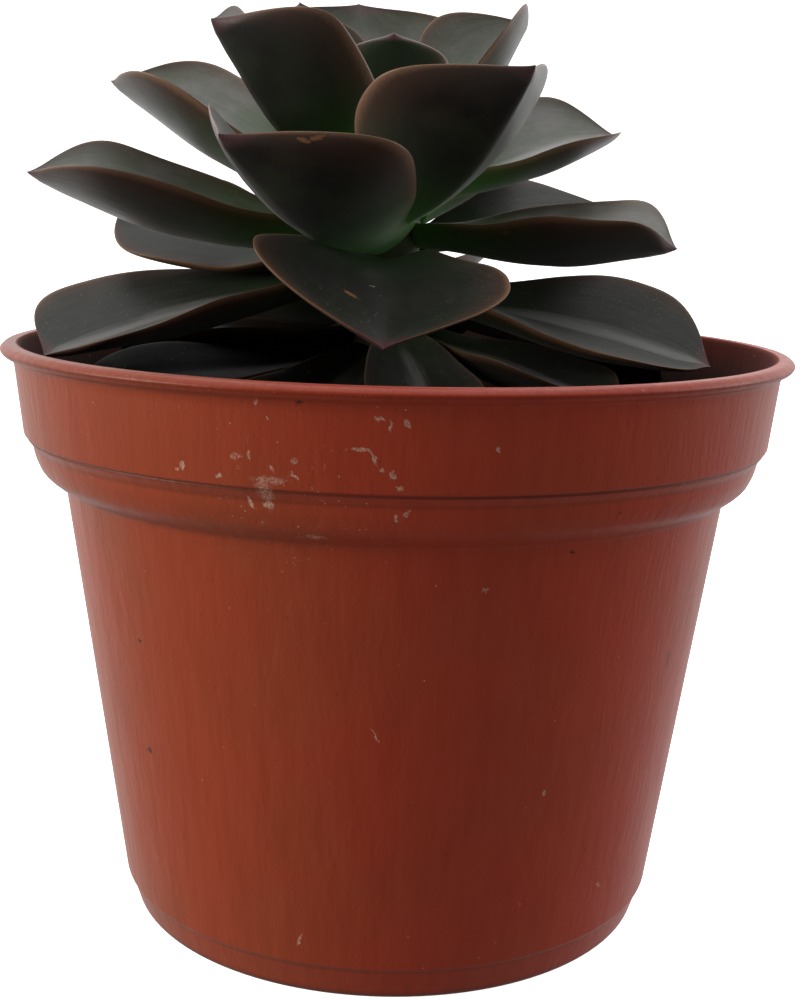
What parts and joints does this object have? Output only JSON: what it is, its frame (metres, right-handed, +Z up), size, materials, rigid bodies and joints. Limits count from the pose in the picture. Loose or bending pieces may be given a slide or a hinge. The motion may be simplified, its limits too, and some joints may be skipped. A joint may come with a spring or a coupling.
{
  "type": "potted echeveria",
  "caption": "Dark rosette succulent on a short stem, planted in a tapered terracotta-coloured plastic pot with a wide rim band.",
  "frame": {"origin": "centre of the pot's base, on the surface that the pot stands on", "axes": "+Z up along the pot's axis; +X to the right and +Y away, seen from the side that the picture shows"},
  "size_m": [0.12, 0.12, 0.1425],
  "materials": {
    "pot_plastic": "satin",
    "potting_soil": "matte",
    "stem_green": "matte",
    "leaf_green": "satin"
  },
  "bodies": {
    "root": {"pot": "pot_plastic", "soil": "potting_soil", "stem": "stem_green", "leaf_01": "leaf_green", "leaf_02": "leaf_green", "leaf_03": "leaf_green", "leaf_04": "leaf_green", "leaf_05": "leaf_green", "leaf_06": "leaf_green", "leaf_07": "leaf_green", "leaf_08": "leaf_green", "leaf_09": "leaf_green", "leaf_10": "leaf_green", "leaf_11": "leaf_green", "leaf_12": "leaf_green", "leaf_13": "leaf_green", "leaf_14": "leaf_green", "leaf_15": "leaf_green", "leaf_16": "leaf_green", "leaf_17": "leaf_green", "leaf_18": "leaf_green", "leaf_19": "leaf_green", "leaf_20": "leaf_green", "leaf_21": "leaf_green", "leaf_22": "leaf_green", "leaf_23": "leaf_green", "leaf_24": "leaf_green", "leaf_25": "leaf_green", "leaf_26": "leaf_green", "leaf_27": "leaf_green", "leaf_28": "leaf_green", "leaf_29": "leaf_green", "leaf_30": "leaf_green", "leaf_31": "leaf_green"}
  },
  "joints": []
}
